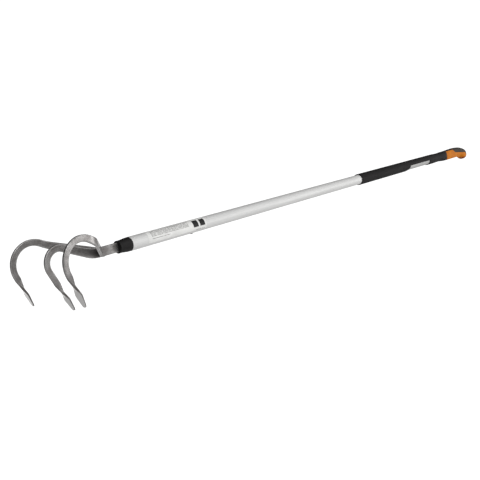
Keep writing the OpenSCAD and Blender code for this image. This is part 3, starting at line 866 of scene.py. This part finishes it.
def label_print():
    """Pale satin film with rows of short grey bars and two blank black blocks.

    An area is given by its two ends along the film and its bottom and top, in millimetres."""
    film = Finish("label_film")
    place = film.place(trait="film_place")
    along, up = film.axis(place, "X"), film.axis(place, "Y")
    row = up % ROW_PITCH
    row_number = (up - row) / ROW_PITCH

    def area(start, end, bottom, top, soft_ends, soft_rows):
        """1 inside an area of the film, as a window along it times a window up it."""
        return along.window(start, end, soft_ends) * up.window(bottom, top, soft_rows)

    def row_noise(pace, step, layer):
        """Noise along the rows that jumps to another place from row to row."""
        sockets = {0: along * pace, 1: row_number * step, 2: layer}
        return film.noise(film.node("ShaderNodeCombineXYZ", None, sockets), 1.0, 1.0, 0.5)

    words = row_noise(0.42, 7.3, 0.0).rise(0.40, 0.43)
    flecks = row_noise(2.1, 3.7, 4.0).rise(0.3, 0.5)
    soft = (TEXT_END_SOFTNESS, TEXT_ROW_SOFTNESS)
    upper, lower, small = (area(*ends, *soft) for ends in TEXT_AREAS)
    ink = row.window(ROW_LOW, ROW_HIGH, INK_SOFTNESS) * words * (0.35 + 0.65 * flecks)
    first, second = (area(*ends, INK_SOFTNESS, INK_SOFTNESS) for ends in BLOCK_AREAS)
    blocks = first + second
    paper = film.noise(film.place(), 20 * MM)
    body = film.coats(
        film.blend(paper.rise(0.35, 0.7), paint(214, 214, 212), paint(224, 224, 222)),
        (ink * (upper + lower + small), paint(112, 111, 109)),
        (blocks, paint(5, 5, 5)),
    )
    rough = 0.36 + 0.14 * paper + 0.1 * blocks
    return film.dress(body, rough, paper, 0.06 * MM, Specular_IOR_Level=0.3)


label_finish = label_print()

# %% Label film
LABEL_X, LABEL_LENGTH, LABEL_THICKNESS, LABEL_GAP = 34, 144, 0.15, 0.02
LABEL_LOW, LABEL_WRAP, LABEL_CORNER = -38, 112, 3.0
END_ROWS, END_CROWDING, BODY_ROWS, FILM_COLUMNS = 10, 1.6, 60, 41
film_in = TUBE_RADIUS + LABEL_GAP


def label_places():
    """Places on the flat film, along it and up it, drawn in at its round corners.

    The inset of a corner is radius - sqrt(radius^2 - (radius - distance from the end)^2)."""
    end = np.linspace(0, 1, END_ROWS) ** END_CROWDING * LABEL_CORNER
    body = np.linspace(LABEL_CORNER, LABEL_LENGTH - LABEL_CORNER, BODY_ROWS)[1:-1]
    along = np.concatenate((end, body, LABEL_LENGTH - end[::-1]))[:, None]
    inside = np.clip(LABEL_CORNER - np.minimum(along, LABEL_LENGTH - along), 0, None)
    inset = LABEL_CORNER - np.sqrt(LABEL_CORNER**2 - inside**2)
    height = np.radians(LABEL_WRAP) * (TUBE_RADIUS + LABEL_THICKNESS)
    up = inset + (height - 2 * inset) * np.linspace(0, 1, FILM_COLUMNS)[None, :]
    return np.stack((np.broadcast_to(along, up.shape), up, 0 * up), axis=-1)


def rolled(places, radius):
    """Places of the flat film rolled round the shaft on a radius."""
    angle = np.radians(LABEL_LOW) + places[..., 1] / (TUBE_RADIUS + LABEL_THICKNESS)
    y, z = -radius * np.cos(angle), radius * np.sin(angle)
    return np.stack((LABEL_X + places[..., 0], y, z), axis=-1)


def shell_piece(name, grids, finish, node, walled=None, traits=None):
    """Thin shell between an outer and an inner grid of one size, with walls along its border.

    walled says for each row whether its two ends get a wall. The first and last row always do."""
    rows, columns = grids[0].shape[:2]
    count = rows * columns
    sides = [grid_faces(rows, columns, False), grid_faces(rows, columns, False, count)[:, ::-1]]
    walled = np.ones(rows, dtype=bool) if walled is None else walled
    row, step = np.arange(rows - 1)[walled[:-1] & walled[1:]], np.arange(columns - 1)
    borders = [(row * columns + column, columns) for column in (0, columns - 1)]
    borders += [(start + step, 1) for start in (0, (rows - 1) * columns)]
    walls = [np.stack((a, a + b, a + b + count, a + count), axis=1) for a, b in borders]
    make_piece(name, grids, np.vstack(sides + walls), finish, node, traits)


film_places = label_places()
film_grids = [rolled(film_places, film_in + LABEL_THICKNESS), rolled(film_places, film_in)]
shell_piece("label", film_grids, label_finish, "label_film", traits={"film_place": film_places})

# %% [markdown]
# ## Handle end sections
#
# The grip's rear and the handle end share one family of sections: rounded rectangles across the
# shaft that rise, drop into the hook and close at the rear. A box with a bevel and a bend would
# come close. Here each is the superellipse from above, so that both pieces meet exactly. One
# function gives its half width, underside, top and squareness at a distance x from the handle
# end's front.

# %% Handle end sections
GRIP_START, GRIP_LENGTH = 762, 543
CAP_LENGTH, CAP_RISE, CAP_TOP_WALL, CAP_LOW_WALL, CAP_SIDE_WALL = 185, 2.4, 1.6, 3.2, 2.0
CAP_FALL, CAP_DROP, CAP_TAIL = 98, 32, 29
CAP_HOOK_HEIGHT, CAP_TAIL_Z, CAP_HOOK_WIDTH = 11.6, 13.0, 13.0
CAP_FRONT_POWER, CAP_HOOK_POWER = 3.6, 2.6
grip_end = GRIP_START + GRIP_LENGTH
cap_hook_x = CAP_LENGTH - CAP_TAIL


def closing(x, start, length):
    """Quarter of an ellipse: 1 up to start and 0 at start + length."""
    return np.sqrt(np.clip(1 - (np.clip(x - start, 0, None) / length) ** 2, 0, 1))


def cap_sizes(x):
    """Half width, underside, top and squareness of the section at a distance x from the front.

    The width narrows to the hook, the underside drops into the hook and the top rises a little.
    All three close at the rear, on quarter ellipses. A squareness of 2 is an ellipse."""
    level = CAP_LENGTH - CAP_FALL
    to_hook, tail = ease(x / cap_hook_x), closing(x, cap_hook_x, CAP_TAIL)
    front = TUBE_RADIUS + CAP_SIDE_WALL
    half_width = (front + (CAP_HOOK_WIDTH - front) * to_hook) * tail
    base = -TUBE_RADIUS - CAP_LOW_WALL
    low = base - CAP_HOOK_HEIGHT * ease((x - cap_hook_x + CAP_DROP) / CAP_DROP)
    top = TUBE_RADIUS + CAP_TOP_WALL + CAP_RISE * ease(x / level)
    power = CAP_FRONT_POWER + (CAP_HOOK_POWER - CAP_FRONT_POWER) * to_hook
    low = -CAP_TAIL_Z + (low + CAP_TAIL_Z) * tail
    top = -CAP_TAIL_Z + (top + CAP_TAIL_Z) * closing(x, level, CAP_FALL)
    return half_width, low, top, power


front_width, front_low, front_top, front_power = cap_sizes(0.0)
print("Handle end's front:", 2 * front_width, "mm wide, from", front_low, "to", round(front_top, 2))

# %% [markdown]
# ## Soft grip
#
# The sleeve is a soft, fine-grained rubber. Its underside has a window that shows the tube: the
# sleeve's edge sweeps up at the front and drops straight at the rear. Cutting the window out with
# a boolean would leave ragged faces, so the sleeve is unrolled instead: rows start on the top line
# and run down both sides to the edge, which is the seam below the shaft or the window's rim.

# %% Soft rubber


def soft_rubber(slot, dark, pale, grain_size):
    """Matt rubber with a fine grain, paler rubbed clouds and a little dust."""
    rubber = Finish(slot)
    grain = rubber.noise(rubber.place(), grain_size, 3.0, 0.6)
    clouds = rubber.noise(rubber.place((0.3, 1, 1)), 18 * MM)
    dust_and_shade = rubber.noise(rubber.place(), grain_size * 3, 2.0).rise(0.6, 0.78)
    body = rubber.coats(
        rubber.blend(clouds.rise(0.3, 0.72), dark, pale),
        (0.14 * dust_and_shade, paint(92, 90, 89)),
    )
    rough = 0.62 + 0.22 * grain - 0.08 * clouds
    return rubber.dress(body, rough, grain, 0.12 * MM, Specular_IOR_Level=0.13)


grip_finish = soft_rubber("soft_grip", paint(15, 13, 14), paint(21, 19, 20), 0.7 * MM)

# %% Grip surface
GRIP_WALL, GRIP_WAIST_WALL, GRIP_WAIST, GRIP_SWELL = 2.0, 1.1, 48, 50
GRIP_ROUND, REAR_ROUND = 1.1, 0.7
front_radius = TUBE_RADIUS + GRIP_WALL
waist_radius = TUBE_RADIUS + GRIP_WAIST_WALL
grip_waist = grip_end - GRIP_WAIST


def quarter_round(distance, radius):
    """Drop of a rounded edge: radius - sqrt(radius^2 - (radius - distance from the edge)^2)."""
    inside = np.clip(radius - distance, 0, radius)
    return radius - np.sqrt(radius**2 - inside**2)


def round_steps(radius, count):
    """Distances from an edge that follow its rounding in even steps: radius (1 - cos a)."""
    return radius * (1 - np.cos(np.linspace(0, np.pi / 2, count)))


def grip_surface(x, angle, drop):
    """Points of the sleeve's outside at x and an angle from the top, drawn in by a drop.

    It is round, narrows to a waist and then turns into the handle end's front section."""
    swell = ease((x - grip_waist + GRIP_SWELL) / GRIP_SWELL)
    rear = ease((x - grip_waist) / GRIP_WAIST)
    radius = front_radius + (waist_radius - front_radius) * swell
    drop = drop + quarter_round(x - GRIP_START, GRIP_ROUND)
    drop = drop + quarter_round(grip_end - x, REAR_ROUND)
    half_width = radius + (front_width - radius) * rear - drop
    low = -radius + (front_low + radius) * rear + drop
    high = radius + (front_top - radius) * rear - drop
    return section(x, np.pi / 2 - angle, half_width, low, high, 2 + (front_power - 2) * rear)


print("Grip:", 2 * front_radius, "mm thick and", 2 * waist_radius, "mm at its waist")

# %% Grip edge
WINDOW_X, WINDOW_LENGTH, WINDOW_SWEEP, WINDOW_Z = 282, 135, 36, 0.5
FAN = 20
NOSE_ROWS, FRONT_ROWS, SWEEP_ROWS, RIM_ROWS = 7, 44, 40, 34
DROP_ROWS, REAR_ROWS, TAIL_ROWS = 28, 46, 6
window_front = GRIP_START + WINDOW_X
window_rear = window_front + WINDOW_LENGTH


def grip_edge():
    """Edge of the unrolled sleeve: x, angle from the top, x on the top line, True at the window.

    The window's front sweeps up as a quarter wave, its rim is level and its rear is straight. Rows
    behind the window fan out, so that they don't crowd at its rear corner."""
    reach = front_radius + TUBE_WALL - WINDOW_Z
    lowest = np.arccos((front_radius - WINDOW_Z) / reach)
    sweep = np.linspace(lowest, np.pi / 2, SWEEP_ROWS)
    sweep_x = window_front - WINDOW_SWEEP * (1 - np.sin(sweep))
    sweep_height = (-WINDOW_Z - reach * np.cos(sweep)) / front_radius
    sweep_angle = np.arccos(np.clip(sweep_height, -1, 1))
    nose = GRIP_START + round_steps(GRIP_ROUND, NOSE_ROWS)
    front = np.concatenate((nose, np.linspace(nose[-1], sweep_x[0], FRONT_ROWS)[1:-1]))
    rim = np.linspace(window_front, window_rear, RIM_ROWS)[1:-1]
    drop = np.full(DROP_ROWS, float(window_rear))
    tail = grip_end - round_steps(REAR_ROUND, TAIL_ROWS)[::-1]
    rear = np.concatenate((np.linspace(window_rear, tail[0], REAR_ROWS)[1:-1], tail))
    rear_fan = FAN * (grip_end - rear) / (grip_end - window_rear)
    rim_angle = sweep_angle[-1]
    stretches = (
        (front, np.pi, 0.0, False),
        (sweep_x, sweep_angle, 0.0, True),
        (rim, rim_angle, 0.0, True),
        (drop, np.linspace(rim_angle, np.pi, DROP_ROWS), np.linspace(0, FAN, DROP_ROWS), True),
        (rear, np.pi, rear_fan, False),
    )
    filled = [[np.broadcast_to(value, part[0].shape) for value in part] for part in stretches]
    x, angle, fan, at_window = (np.concatenate(values) for values in zip(*filled))
    return x, angle, x + fan, at_window


edge_x, edge_angle, top_x, at_window = grip_edge()
print("The grip's edge has", edge_x.size, "rows, of which", at_window.sum(), "lie at the window")

# %% Soft grip
RIM_ROUND, GRIP_GAP, SIDE_COLUMNS = 0.9, 0.05, 40
NEAR_EDGE = np.array((0, 0.06, 0.18, 0.36, 0.6, 0.9, 1.4))


def grip_grids():
    """Outer and inner grid of the sleeve. Columns lie close together at the edge, to round the rim.

    A point's drop follows from its distance to the nearest place of the window's rim."""
    length = np.hypot(edge_angle * front_radius, top_x - edge_x)[:, None]
    middle = np.linspace(0, 1, SIDE_COLUMNS)[None, :-1] * (1 - NEAR_EDGE[-1] / length)
    half = np.concatenate((middle, 1 - NEAR_EDGE[::-1] / length), axis=1)
    share = np.concatenate((-half[:, :0:-1], half), axis=1)
    x = top_x[:, None] + (edge_x - top_x)[:, None] * np.abs(share)
    angle = edge_angle[:, None] * share
    ahead = x[..., None] - edge_x[at_window]
    around = (np.abs(angle)[..., None] - edge_angle[at_window]) * front_radius
    from_rim = np.hypot(ahead, around).min(axis=-1)
    bore = TUBE_RADIUS + GRIP_GAP
    inner = np.stack((x, bore * np.sin(angle), bore * np.cos(angle)), axis=-1)
    return grip_surface(x, angle, quarter_round(from_rim, RIM_ROUND)), inner


shell_piece("grip", grip_grids(), grip_finish, "grip_sleeve", at_window)

# %% [markdown]
# ## Handle end
#
# The handle end is moulded in orange plastic, with a hook that stops the hand. Its finger stop
# is darker towards the bottom with painted shade, and painted shade darkens the orange at the
# joint to the grip. A soft inlay lies in a bed on its top and wraps round its rear. Painting the
# border would be easier, but the real one is a step. So both pieces share the same sections, and
# each row is split at the inlay's edge: the border between orange and black is a clean line of mesh
# edges, and the orange surface steps down there.

# %% Orange plastic
# Places along the shaft of the painted shade at the joint to the grip, and heights of the
# painted shade on the finger stop, in metres.
JOINT_SHADE_START, JOINT_SHADE_END = 1.3055, 1.314
STOP_SHADE_FULL, STOP_SHADE_END = -0.0245, -0.0165


def orange_plastic():
    """Satin orange plastic with grain and scuffs, and painted shade at the joint and the finger
    stop.
    """
    plastic = Finish("orange_plastic")
    place = plastic.place()
    grain = plastic.noise(place, 0.6 * MM, 2.0)
    clouds = plastic.noise(place, 20 * MM)
    scuffs = plastic.noise(plastic.place((0.4, 1, 1)), 2 * MM).rise(0.64, 0.78)
    # Painted shade: a dark band at the front, at the joint to the grip.
    joint_shade = 1 - plastic.axis(place, "X").rise(JOINT_SHADE_START, JOINT_SHADE_END)
    # Painted shade: the finger stop turns dark red-brown towards its bottom.
    stop_shade = 1 - plastic.axis(place, "Z").rise(STOP_SHADE_FULL, STOP_SHADE_END)
    body = plastic.coats(
        plastic.blend(clouds.rise(0.3, 0.72), paint(190, 106, 0), paint(203, 120, 3)),
        (0.14 * scuffs, paint(214, 150, 70)),
        (0.7 * joint_shade, paint(62, 36, 8)),
        (0.95 * stop_shade, paint(104, 24, 1)),
    )
    rough = 0.5 + 0.14 * grain + 0.1 * scuffs
    return plastic.dress(body, rough, grain, 0.06 * MM, Specular_IOR_Level=0.06)


orange_finish = orange_plastic()
inlay_finish = soft_rubber("soft_inlay", paint(50, 46, 43), paint(60, 55, 51), 0.6 * MM)

# %% Inlay edge
INLAY_THICKNESS, INLAY_STRIP, INLAY_LOBE_X, INLAY_SLANT = 0.8, 1.5, 57, 14
INLAY_LOBE_Z, INLAY_LOW_Z, INLAY_GAP = 2.0, 6.0, 0.02
EDGE_SOFTNESS, EDGE_SAMPLES, RISE_LIMIT, NO_SIDE = 5, 11, 0.999, 1e-9


def inlay_edge_height(x):
    """Height of the inlay's edge from the side: a strip, a slanted start, a long fall and the rear.

    The straight lines are averaged over a few millimetres, which rounds their corners."""
    strip = TUBE_RADIUS + CAP_TOP_WALL - INLAY_STRIP
    deepest = TUBE_RADIUS + CAP_LOW_WALL + CAP_HOOK_HEIGHT
    lobe_end = INLAY_LOBE_X + INLAY_SLANT
    places = (0, INLAY_LOBE_X, lobe_end, cap_hook_x, CAP_LENGTH + TUBE_WALL)
    heights = (strip, strip, INLAY_LOBE_Z, -INLAY_LOW_Z, -deepest)
    shifts = np.linspace(-0.5, 0.5, EDGE_SAMPLES) * EDGE_SOFTNESS
    return np.mean([np.interp(x + shift, places, heights) for shift in shifts], axis=0)


def inlay_edge_angle(x):
    """Angle of the edge in its section: where the superellipse reaches the edge's height."""
    half_width, low, top, power = cap_sizes(x)
    half_height = np.maximum((top - low) / 2, TINY)
    rise = (inlay_edge_height(x) - (top + low) / 2) / half_height
    rise = np.clip(rise, -1, RISE_LIMIT)
    side = half_width * (1 - np.abs(rise) ** power) ** (1 / power)
    return np.arctan2(rise * half_height, np.maximum(side, NO_SIDE))


print("The inlay's edge starts at", inlay_edge_height(0.0).round(2), "mm above the axis")

# %% Handle end rows
CAP_ROUND, SCREW_X, SCREW_HEAD, SCREW_SINK = 0.7, 38, 3.4, 0.4
SEAT_DEPTH, SEAT_GAP, SEAT_WALL, SEAT_REACH = 0.25, 0.05, 0.5, 6
FRONT_STATIONS, BODY_STATIONS, SEAT_STATIONS, REST_STATIONS, TAIL_STATIONS = 6, 22, 41, 104, 40


def cap_stations():
    """Distances from the front: close at the rounded front, at the screw and towards the rear."""
    front = round_steps(CAP_ROUND, FRONT_STATIONS)
    seat_start, seat_end = SCREW_X - SEAT_REACH, SCREW_X + SEAT_REACH
    body = np.linspace(front[-1], seat_start, BODY_STATIONS)[1:]
    seat = np.linspace(seat_start, seat_end, SEAT_STATIONS)[1:]
    rest = np.linspace(seat_end, cap_hook_x, REST_STATIONS)[1:]
    tail = cap_hook_x + CAP_TAIL * np.sin(np.linspace(0, np.pi / 2, TAIL_STATIONS))[1:]
    return np.concatenate((front, body, seat, rest, tail))


def cap_points(x, angle, inset):
    """Points of the handle end's sections, drawn in by an inset, also from the rear."""
    back = inset * np.clip(x - cap_hook_x, 0, None) / CAP_TAIL
    half_width, low, top, power = cap_sizes(x)
    ring = section(x, angle, half_width - inset, low + inset, top - inset, power)
    ring[..., 0] = grip_end + x - back
    return ring


def screw_seat(away):
    """Depth of the screw's seat at a distance from the screw: level, then a short eased wall."""
    wall = ease((away - SCREW_HEAD - SEAT_GAP) / SEAT_WALL)
    return (SCREW_SINK + SEAT_DEPTH) * (1 - wall)


cap_x = cap_stations()
cap_edge = inlay_edge_angle(cap_x)
print("The handle end has", cap_x.size, "rows")

# %% Handle end
SOCKET_LENGTH, SOCKET_GAP = 58, 0.05
SIDE_POINTS, SIDE_CROWDING, TOP_POINTS, PROUD_SPAN = 58, 1.25, 36, 2
MIRROR = np.array((1, -1, 1))


def socket_rows(front):
    """Rings of the socket for the tube: its end, its wall and its mouth, in line with the front."""
    angle = np.arctan2(front[:, 2], front[:, 1])
    radius = TUBE_RADIUS + SOCKET_GAP
    ring = np.stack((0 * angle, radius * np.cos(angle), radius * np.sin(angle)), axis=-1)
    deep = ring + (grip_end + SOCKET_LENGTH, 0, 0)
    return np.stack((deep * (1, 0, 0), deep, ring + (grip_end, 0, 0)))


def orange_grid():
    """Rows of the orange body: the socket, then loops from below up one side, over and back down.

    Each loop has the outside up to the inlay's edge and, between, the bed, which is lower by the
    inlay's thickness. Where the side shrinks to nothing at the rear, it sinks into the bed."""
    x, edge = cap_x[:, None], cap_edge[:, None]
    rise = np.linspace(0, 1, SIDE_POINTS)[None, :] ** SIDE_CROWDING
    below = -np.pi / 2 + (edge + np.pi / 2) * rise
    over = edge + (np.pi / 2 - edge) * np.linspace(0, 1, TOP_POINTS)[None, :]
    proud = ease((edge + np.pi / 2) * cap_sizes(x)[0] / PROUD_SPAN)
    drop = quarter_round(x, CAP_ROUND)
    bed = INLAY_THICKNESS + INLAY_GAP
    side = cap_points(x, below, drop + (1 - proud) * bed)
    top = cap_points(x, over, np.maximum(drop, bed))
    seat = screw_seat(np.hypot(x - SCREW_X, side[..., 1]))
    side[..., 2] += np.where(side[..., 2] < -TUBE_RADIUS, seat, 0)
    far_top, far_side = (top * MIRROR)[:, -2::-1], (side * MIRROR)[:, :0:-1]
    loop = np.concatenate((side, top, far_top, far_side), axis=1)
    return np.concatenate((socket_rows(loop[0]), loop))


ringed_piece("handle_end", [orange_grid()], orange_finish, "end_cap")

# %% [markdown]
# ## Soft inlay
#
# The inlay is soft dark rubber, moulded over the orange body. It could be a thickened copy of the
# orange faces below it. Here it is a thin shell over the same sections, from its edge on one side
# over the top to the other, because then its border can be rounded a little. That leaves the fine
# groove that a two-part moulding shows.

# %% Soft inlay
INLAY_ROUND, INLAY_RIM = 0.45, 0.1
NEAR_BORDER = np.array((0, 0.05, 0.14, 0.28, 0.45, 0.8))
NO_BORDER, SLIVER = 10, 1e-3
has_border = cap_edge > -np.pi / 2 + SLIVER


def inlay_grids():
    """Outer and inner grid of the inlay, with columns close together at its rounded border."""
    x, edge = cap_x[:, None], cap_edge[:, None]
    reach = np.maximum((np.pi / 2 - edge) * cap_sizes(x)[0], SLIVER)
    near = np.minimum(NEAR_BORDER, reach * np.linspace(0, 0.5, NEAR_BORDER.size)) / reach
    start = near[:, -1:]
    rest = start + (1 - start) * np.linspace(0, 1, TOP_POINTS)[None, 1:]
    share = np.concatenate((near, rest), axis=1)
    angle = edge + (np.pi / 2 - edge) * share
    border = np.where(has_border[:, None], share * reach, NO_BORDER)
    drop = np.maximum(quarter_round(border, INLAY_ROUND), quarter_round(x, CAP_ROUND))
    outer = cap_points(x, angle, np.minimum(drop, INLAY_THICKNESS - INLAY_RIM))
    inner = cap_points(x, angle, INLAY_THICKNESS)
    halves = (outer, inner)
    return [np.concatenate((half, (half * MIRROR)[:, -2::-1]), axis=1) for half in halves]


shell_piece("soft_inlay", inlay_grids(), inlay_finish, "end_cap_inlay", has_border)

# %% [markdown]
# ## Screw and plug
#
# The screw below the handle end is turned steel, and the plug inside the tube is moulded plastic.
# They could be built again here. They already have the right shape in CAD, so their nodes stay,
# and only get the finishes made above.

# %% Screw and plug
for node, finish in (("cap_screw", dark_finish), ("rear_plug", plastic_finish)):
    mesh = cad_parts[node].data
    mesh.materials.clear()
    mesh.materials.append(finish.material)
    print(node, "keeps its CAD shape, with", finish.slot)

# %% [markdown]
# ## Floor and light
#
# The photograph shows the tool on pure white. A backdrop could be lit until it is white, but then
# it would light the tool from below as well. Here a large pale floor lies under the lowest tip,
# glows, and is seen by the camera alone. A big soft key light stands low at the right, so that
# flat steel sides flash and the tube's lower half stays pale. A fill light stands above the
# camera's side, and a wide, weak light behind the tool serves views from there. The world is white
# to the eye. In reflections its front is bright with a dark line at the horizon and its back is
# dark above, which draws dark edges.

# %% Floor
FLOOR_SIDE, FLOOR_GAP = 60.0, 0.0005


def grey(level):
    """Colour with three equal parts."""
    return (level, level, level, 1.0)


floor_z = cad_box[0][2] - FLOOR_GAP
floor_corners = np.array(((-1, -1, 0), (1, -1, 0), (1, 1, 0), (-1, 1, 0))) * FLOOR_SIDE
floor_mesh = bpy.data.meshes.new("floor")
floor_mesh.from_pydata((floor_corners + (0, 0, floor_z)).tolist(), [], [(0, 1, 2, 3)])
floor = bpy.data.objects.new("floor", floor_mesh)
bpy.context.scene.collection.objects.link(floor)
floor_finish = Finish("pale_floor").set(Base_Color=grey(0.35), Roughness=0.9)
floor_finish.set(Specular_IOR_Level=0.0, Emission_Color=grey(1.0), Emission_Strength=1.0)
floor_mesh.materials.append(floor_finish.material)
floor.visible_diffuse = floor.visible_glossy = floor.visible_shadow = False
print("Floor at", round(floor_z, 4), "m")

# %% Lights
LIT_PLACE = np.array((0.35, 0.0, 0.0))


def soft_light(name, place, width, height, power):
    """Soft light of a width and height at a place that looks at the middle of the tool."""
    data = bpy.data.lights.new(name, "AREA")
    data.shape = "RECTANGLE"
    data.size, data.size_y = width, height
    data.energy = power
    lamp = bpy.data.objects.new(name, data)
    back = unit(np.array(place) - LIT_PLACE)
    right = unit(np.cross((0.0, 0.0, 1.0), back))
    turn = np.stack((right, np.cross(back, right), back)).T
    lamp.matrix_world = Matrix.LocRotScale(place, Matrix(turn.tolist()), None)
    lamp.visible_camera = False
    bpy.context.scene.collection.objects.link(lamp)
    print(name, "has", power, "W")


soft_light("key_light", (9.4, -5.7, -0.2), 4.8, 4.0, 240)
soft_light("fill_light", (0.0, -1.9, 1.5), 1.6, 1.2, 24)
soft_light("back_light", (1.6, 3.6, -1.1), 6.0, 2.6, 44)

# %% World
HORIZON, FRONT_PANEL, OVERHEAD, GROUND = grey(0.12), grey(0.9), grey(0.25), grey(0.79)
BACK_GROUND, BACK_WALL, WHITE_TO_EYE = grey(0.68), grey(0.08), grey(1.1)
world = bpy.data.worlds.new("studio")
bpy.context.scene.world = world
sky = Finish("studio", world, "Background")
aside, height = sky.axis(sky.place(), "Y"), sky.axis(sky.place(), "Z")
above = sky.blend(height.rise(0.0, 0.3), HORIZON, FRONT_PANEL)
above = sky.blend(height.rise(0.5, 0.9), above, OVERHEAD)
front = sky.blend(height.rise(-0.04, 0.0), GROUND, above)
back = sky.blend(height.rise(-0.1, 0.15), BACK_GROUND, BACK_WALL)
around = sky.blend(aside.rise(-0.1, 0.2), front, back)
seen = sky.node("ShaderNodeLightPath", out="Is Camera Ray")
sky.set(Color=sky.blend(seen, around, WHITE_TO_EYE)).made()
bpy.context.scene.view_settings.view_transform = "Standard"

# %% [markdown]
# ## Size
#
# The dressed tool must keep the CAD model's size.
